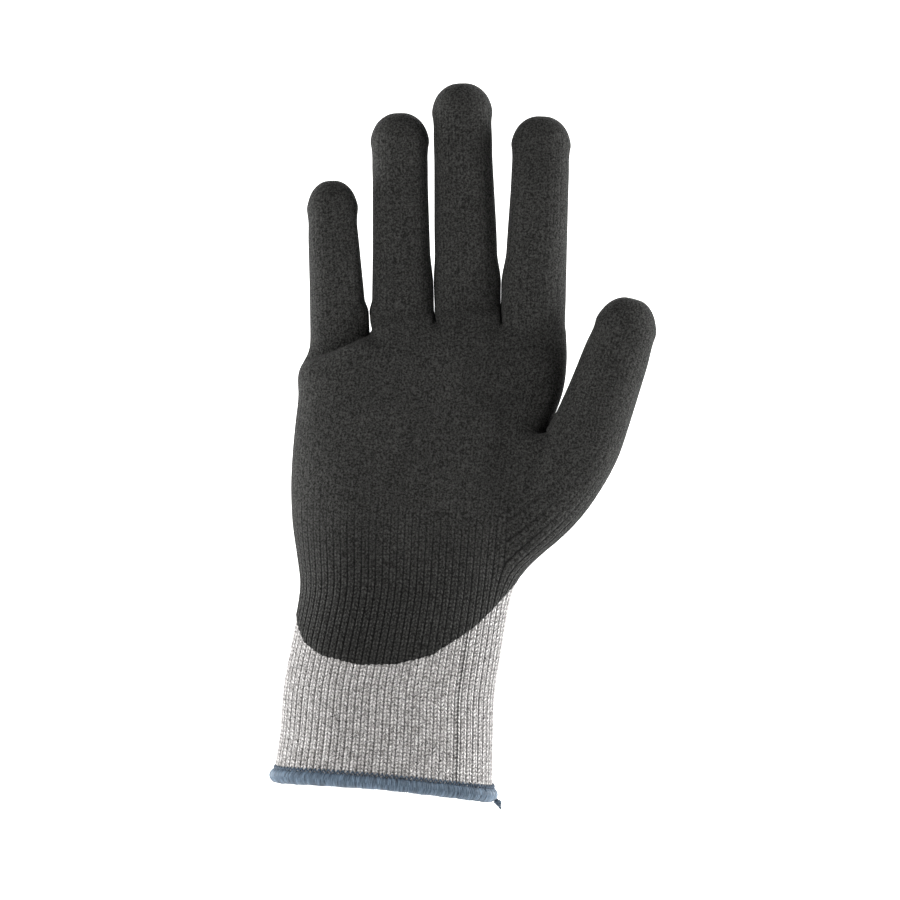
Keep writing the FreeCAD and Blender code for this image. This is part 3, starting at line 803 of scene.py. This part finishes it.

# The coating is matt, finely pitted, and shows the stitches faintly, most of all low on the palm: as bump,
# and as painted shade in their valleys with painted highlight on their tops.
COAT_DARK, COAT_PALE = (0.005, 0.005, 0.0045, 1), (0.037, 0.037, 0.035, 1)
RIBS_FADE, RIBS_FULL, RIBS_LEAST = 112 * MM, 58 * MM, 0.16  # levels between which the stitches come through
PITS, MOTTLE = 1600.0, 55.0  # specks to a metre
WALE_RELIEF, PIT_RELIEF = 0.4 * MM, 0.16 * MM
coat_finish, tree, shader, coords = new_finish("foam_nitrile", 0.8, 0.12, 0.02)
height, valley = add_stitches(tree)[:2]
grain = calc(tree, "MULTIPLY_ADD", speckle(tree, coords, PITS, 2.0, 0.75), 4.6, -1.8)
mottle = speckle(tree, coords, MOTTLE, 3.0, 0.5)
level = put(tree, "ShaderNodeSeparateXYZ", (coords,)).outputs[2]
low = put(tree, "ShaderNodeMapRange", (level, RIBS_FADE, RIBS_FULL, RIBS_LEAST, 1.0),
          interpolation_type="SMOOTHSTEP").outputs[0]
colour = mix(tree, grain, COAT_DARK, COAT_PALE)
colour = shade(tree, colour, calc(tree, "MULTIPLY_ADD", mottle, 0.7, 0.65))
# Painted shade and highlight of the stitches under the coating: the colour is painted darker in the valleys
# and lighter on the stitch tops, most low on the palm, where the whole coating is also made a little darker.
valleys = calc(tree, "MULTIPLY_ADD", valley, 0.9, 0.45)
pressed = calc(tree, "MULTIPLY", calc(tree, "SUBTRACT", height, valleys), low)
darker_low = calc(tree, "MULTIPLY_ADD", low, -0.1, 1.0)
colour = shade(tree, colour, calc(tree, "MULTIPLY_ADD", pressed, 1.25, darker_low))
tree.links.new(colour, shader.inputs["Base Color"])
wales_bump = bump(tree, pressed, WALE_RELIEF, 0.8)
tree.links.new(bump(tree, grain, PIT_RELIEF, 0.7, wales_bump), shader.inputs["Normal"])
tree.links.new(calc(tree, "MULTIPLY_ADD", grain, -0.15, 0.85), shader.inputs["Roughness"])

for name, piece in coats.items():
    piece.data.materials.append(coat_finish)
    piece.data.polygons.foreach_set("use_smooth", np.ones(len(piece.data.polygons), bool))
    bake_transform(piece, *bends[name])
    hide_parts(f"{stands_for[name][0]}_coating")
for piece in (*knits.values(), *coats.values()):
    for layer in ("coat_place", "outward", "dip", "side", "reach", "region"):
        if layer in piece.data.attributes:
            piece.data.attributes.remove(piece.data.attributes[layer])

# ---- Hem ----------------------------------------------------------------------------------------
# A bead of slate blue overlock thread, wrapped tightly round the raw edge of the knit, with the row of
# small stitches that anchors it along its upper edge.
HEM_RADIUS = 2.25 * MM
WRAPS = 300
WRAP_SAMPLES = 4
WRAP_RELIEF = 0.10  # of the radius
centre, half_width, half_depth = hand_section(ROW_LEVELS[0])
tilt = radians(TILTS[1][0])
hem_across, hem_up = Vector((cos(tilt), 0, -sin(tilt))), Vector((sin(tilt), 0, cos(tilt)))
hem_count = WRAPS * WRAP_SAMPLES
edge_path = round_points(hem_count, half_width - CUFF_WALL / 2, half_depth - CUFF_WALL / 2)


def on_edge(t, lift=0.0, out=0.0):
    """A point beside the middle of the knit's raw edge, and the way out of the glove there."""
    u, v = edge_path[int(t * hem_count) % hem_count]
    away = hem_across * float(u / half_width) + Vector((0, float(v / half_depth), 0))
    away.normalize()
    point = centre + hem_across * float(u) + Vector((0, float(v), 0)) + hem_up * lift + away * out
    point.z += opening_lift(float(v / half_depth), ROW_LEVELS[0])
    return point, away


def thread_round(name, count, sides, radius, line, swell=lambda t, turn: 1.0):
    """A closed tube round the wrist opening, mapped with its turns across and its girth up."""
    tube = bmesh.new()
    tube.loops.layers.uv.new("turns")
    bmesh.ops.create_grid(tube, x_segments=count, y_segments=sides, size=0.5, calc_uvs=True)
    for vert in tube.verts:
        t, turn = vert.co.x + 0.5, (vert.co.y + 0.5) * tau
        point, away = line(t)
        size = radius * swell(t, turn)
        vert.co = point + away * (cos(turn) * size) + hem_up * (sin(turn) * size)
    bmesh.ops.remove_doubles(tube, verts=tube.verts, dist=1e-6)
    bmesh.ops.recalc_face_normals(tube, faces=tube.faces)
    for face in tube.faces:
        face.smooth = True
    ring = bpy.data.objects.new(name, bpy.data.meshes.new(name))
    tube.to_mesh(ring.data)
    tube.free()
    bpy.context.scene.collection.objects.link(ring)
    return ring


hem = thread_round("hem_bead", hem_count, 20, HEM_RADIUS, on_edge, lambda t, turn: (
    1 + WRAP_RELIEF * cos(tau * t * WRAPS + 1.2 * sin(turn))
    + 0.03 * sin(tau * t * 23) + 0.02 * sin(tau * t * 57)))
STITCHES = 120
STITCH_RADIUS, STITCH_RISE, STITCH_SWING = 0.34 * MM, 2.75 * MM, 0.55 * MM
STITCH_OUT, STITCH_WEAVE = 0.85 * MM, 0.2 * MM
stitch_row = thread_round("hem_stitches", STITCHES * 8, 6, STITCH_RADIUS, lambda t: on_edge(
    t, STITCH_RISE + STITCH_SWING * sin(tau * t * STITCHES),
    STITCH_OUT + STITCH_WEAVE * cos(tau * t * STITCHES * 2)))

THREAD_DARK, THREAD_PALE = (0.018, 0.032, 0.052, 1), (0.15, 0.215, 0.29, 1)
THREAD_FUZZ, THREAD_RELIEF, SPUN, SPUN_RELIEF = 4200.0, 0.15 * MM, 2600.0, 0.1 * MM
SPUN_DARK, SPUN_PALE = (0.012, 0.022, 0.038, 1), (0.075, 0.115, 0.165, 1)
thread_finish, tree, shader, coords = new_finish("slate_thread", 0.55, 0.35, 0.2)
turns = put(tree, "ShaderNodeUVMap", uv_map="turns").outputs[0]
wound = put(tree, "ShaderNodeVectorMath", (turns, (WRAPS, 2.5, 1)), operation="MULTIPLY").outputs[0]
streak = calc(tree, "MULTIPLY_ADD", speckle(tree, wound, 0.8, 3.0, 0.7), 3.2, -1.1)
tree.links.new(mix(tree, streak, THREAD_DARK, THREAD_PALE), shader.inputs["Base Color"])
tree.links.new(bump(tree, speckle(tree, coords, THREAD_FUZZ), THREAD_RELIEF, 0.6), shader.inputs["Normal"])
stitch_finish, tree, shader, coords = new_finish("slate_stitching", 0.6, 0.3, 0.2)
spun = calc(tree, "MULTIPLY_ADD", speckle(tree, coords, SPUN), 3.0, -1.0)
tree.links.new(mix(tree, spun, SPUN_DARK, SPUN_PALE), shader.inputs["Base Color"])
tree.links.new(bump(tree, spun, SPUN_RELIEF, 0.6), shader.inputs["Normal"])

# The thread's end, knotted and left hanging at the thumb side.
low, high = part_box("hem_tail")
TAIL_RADIUS, KNOT_RADIUS, KNOT_TURNS, KNOT_STEPS = 0.6 * MM, 0.85 * MM, 3.4, 120
knot = bmesh.new()
bmesh.ops.create_grid(knot, x_segments=KNOT_STEPS, y_segments=10, size=0.5)


def knot_point(t):
    """The thread's middle line: a few turns of a knot, and then a short straight end."""
    above = Vector((low.x, (low.y + high.y) / 2, high.z + KNOT_RADIUS))
    middle = above.lerp(Vector((high.x, low.y, low.z)), 0.15 + 0.7 * t)
    coil = KNOT_RADIUS * max(0.0, sin(pi * min(1.0, t * 1.5)))
    turn = t * KNOT_TURNS * tau
    return middle + Vector((cos(turn), sin(turn), 0.5 * sin(turn * 1.5))) * coil


for vert in knot.verts:
    t, turn = vert.co.x + 0.5, (vert.co.y + 0.5) * tau
    along = (knot_point(t + 0.01) - knot_point(t - 0.01)).normalized()
    beside = along.cross(Vector((0.3, 0.8, 0.5))).normalized()
    size = TAIL_RADIUS * (1 - 0.35 * t)
    vert.co = knot_point(t) + beside * (cos(turn) * size) + along.cross(beside) * (sin(turn) * size)
bmesh.ops.remove_doubles(knot, verts=knot.verts, dist=1e-6)
bmesh.ops.holes_fill(knot, edges=[e for e in knot.edges if e.is_boundary])
bmesh.ops.recalc_face_normals(knot, faces=knot.faces)
for face in knot.faces:
    face.smooth = True
tail = bpy.data.objects.new("hem_knot", bpy.data.meshes.new("hem_knot"))
knot.to_mesh(tail.data)
knot.free()
bpy.context.scene.collection.objects.link(tail)
for piece, finish in ((hem, thread_finish), (stitch_row, stitch_finish), (tail, stitch_finish)):
    piece.data.materials.append(finish)
    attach(piece, "cuff")
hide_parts("cuff_hem")
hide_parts("hem_tail")

# ---- Elastic ------------------------------------------------------------------------------------
# Covered rubber threads laid inside the knitting of the cuff, which hold it to the wrist.
elastic_finish, tree, shader, coords = new_finish("covered_rubber", 0.7, 0.3, 0.1)
COVER_DARK, COVER_PALE = (0.50, 0.49, 0.47, 1), (0.75, 0.74, 0.72, 1)
cover = mix(tree, speckle(tree, coords, 1500.0), COVER_DARK, COVER_PALE)
tree.links.new(cover, shader.inputs["Base Color"])
elastic = frame["nodes"]["cuff_elastic"]
elastic.data.materials.clear()
elastic.data.materials.append(elastic_finish)
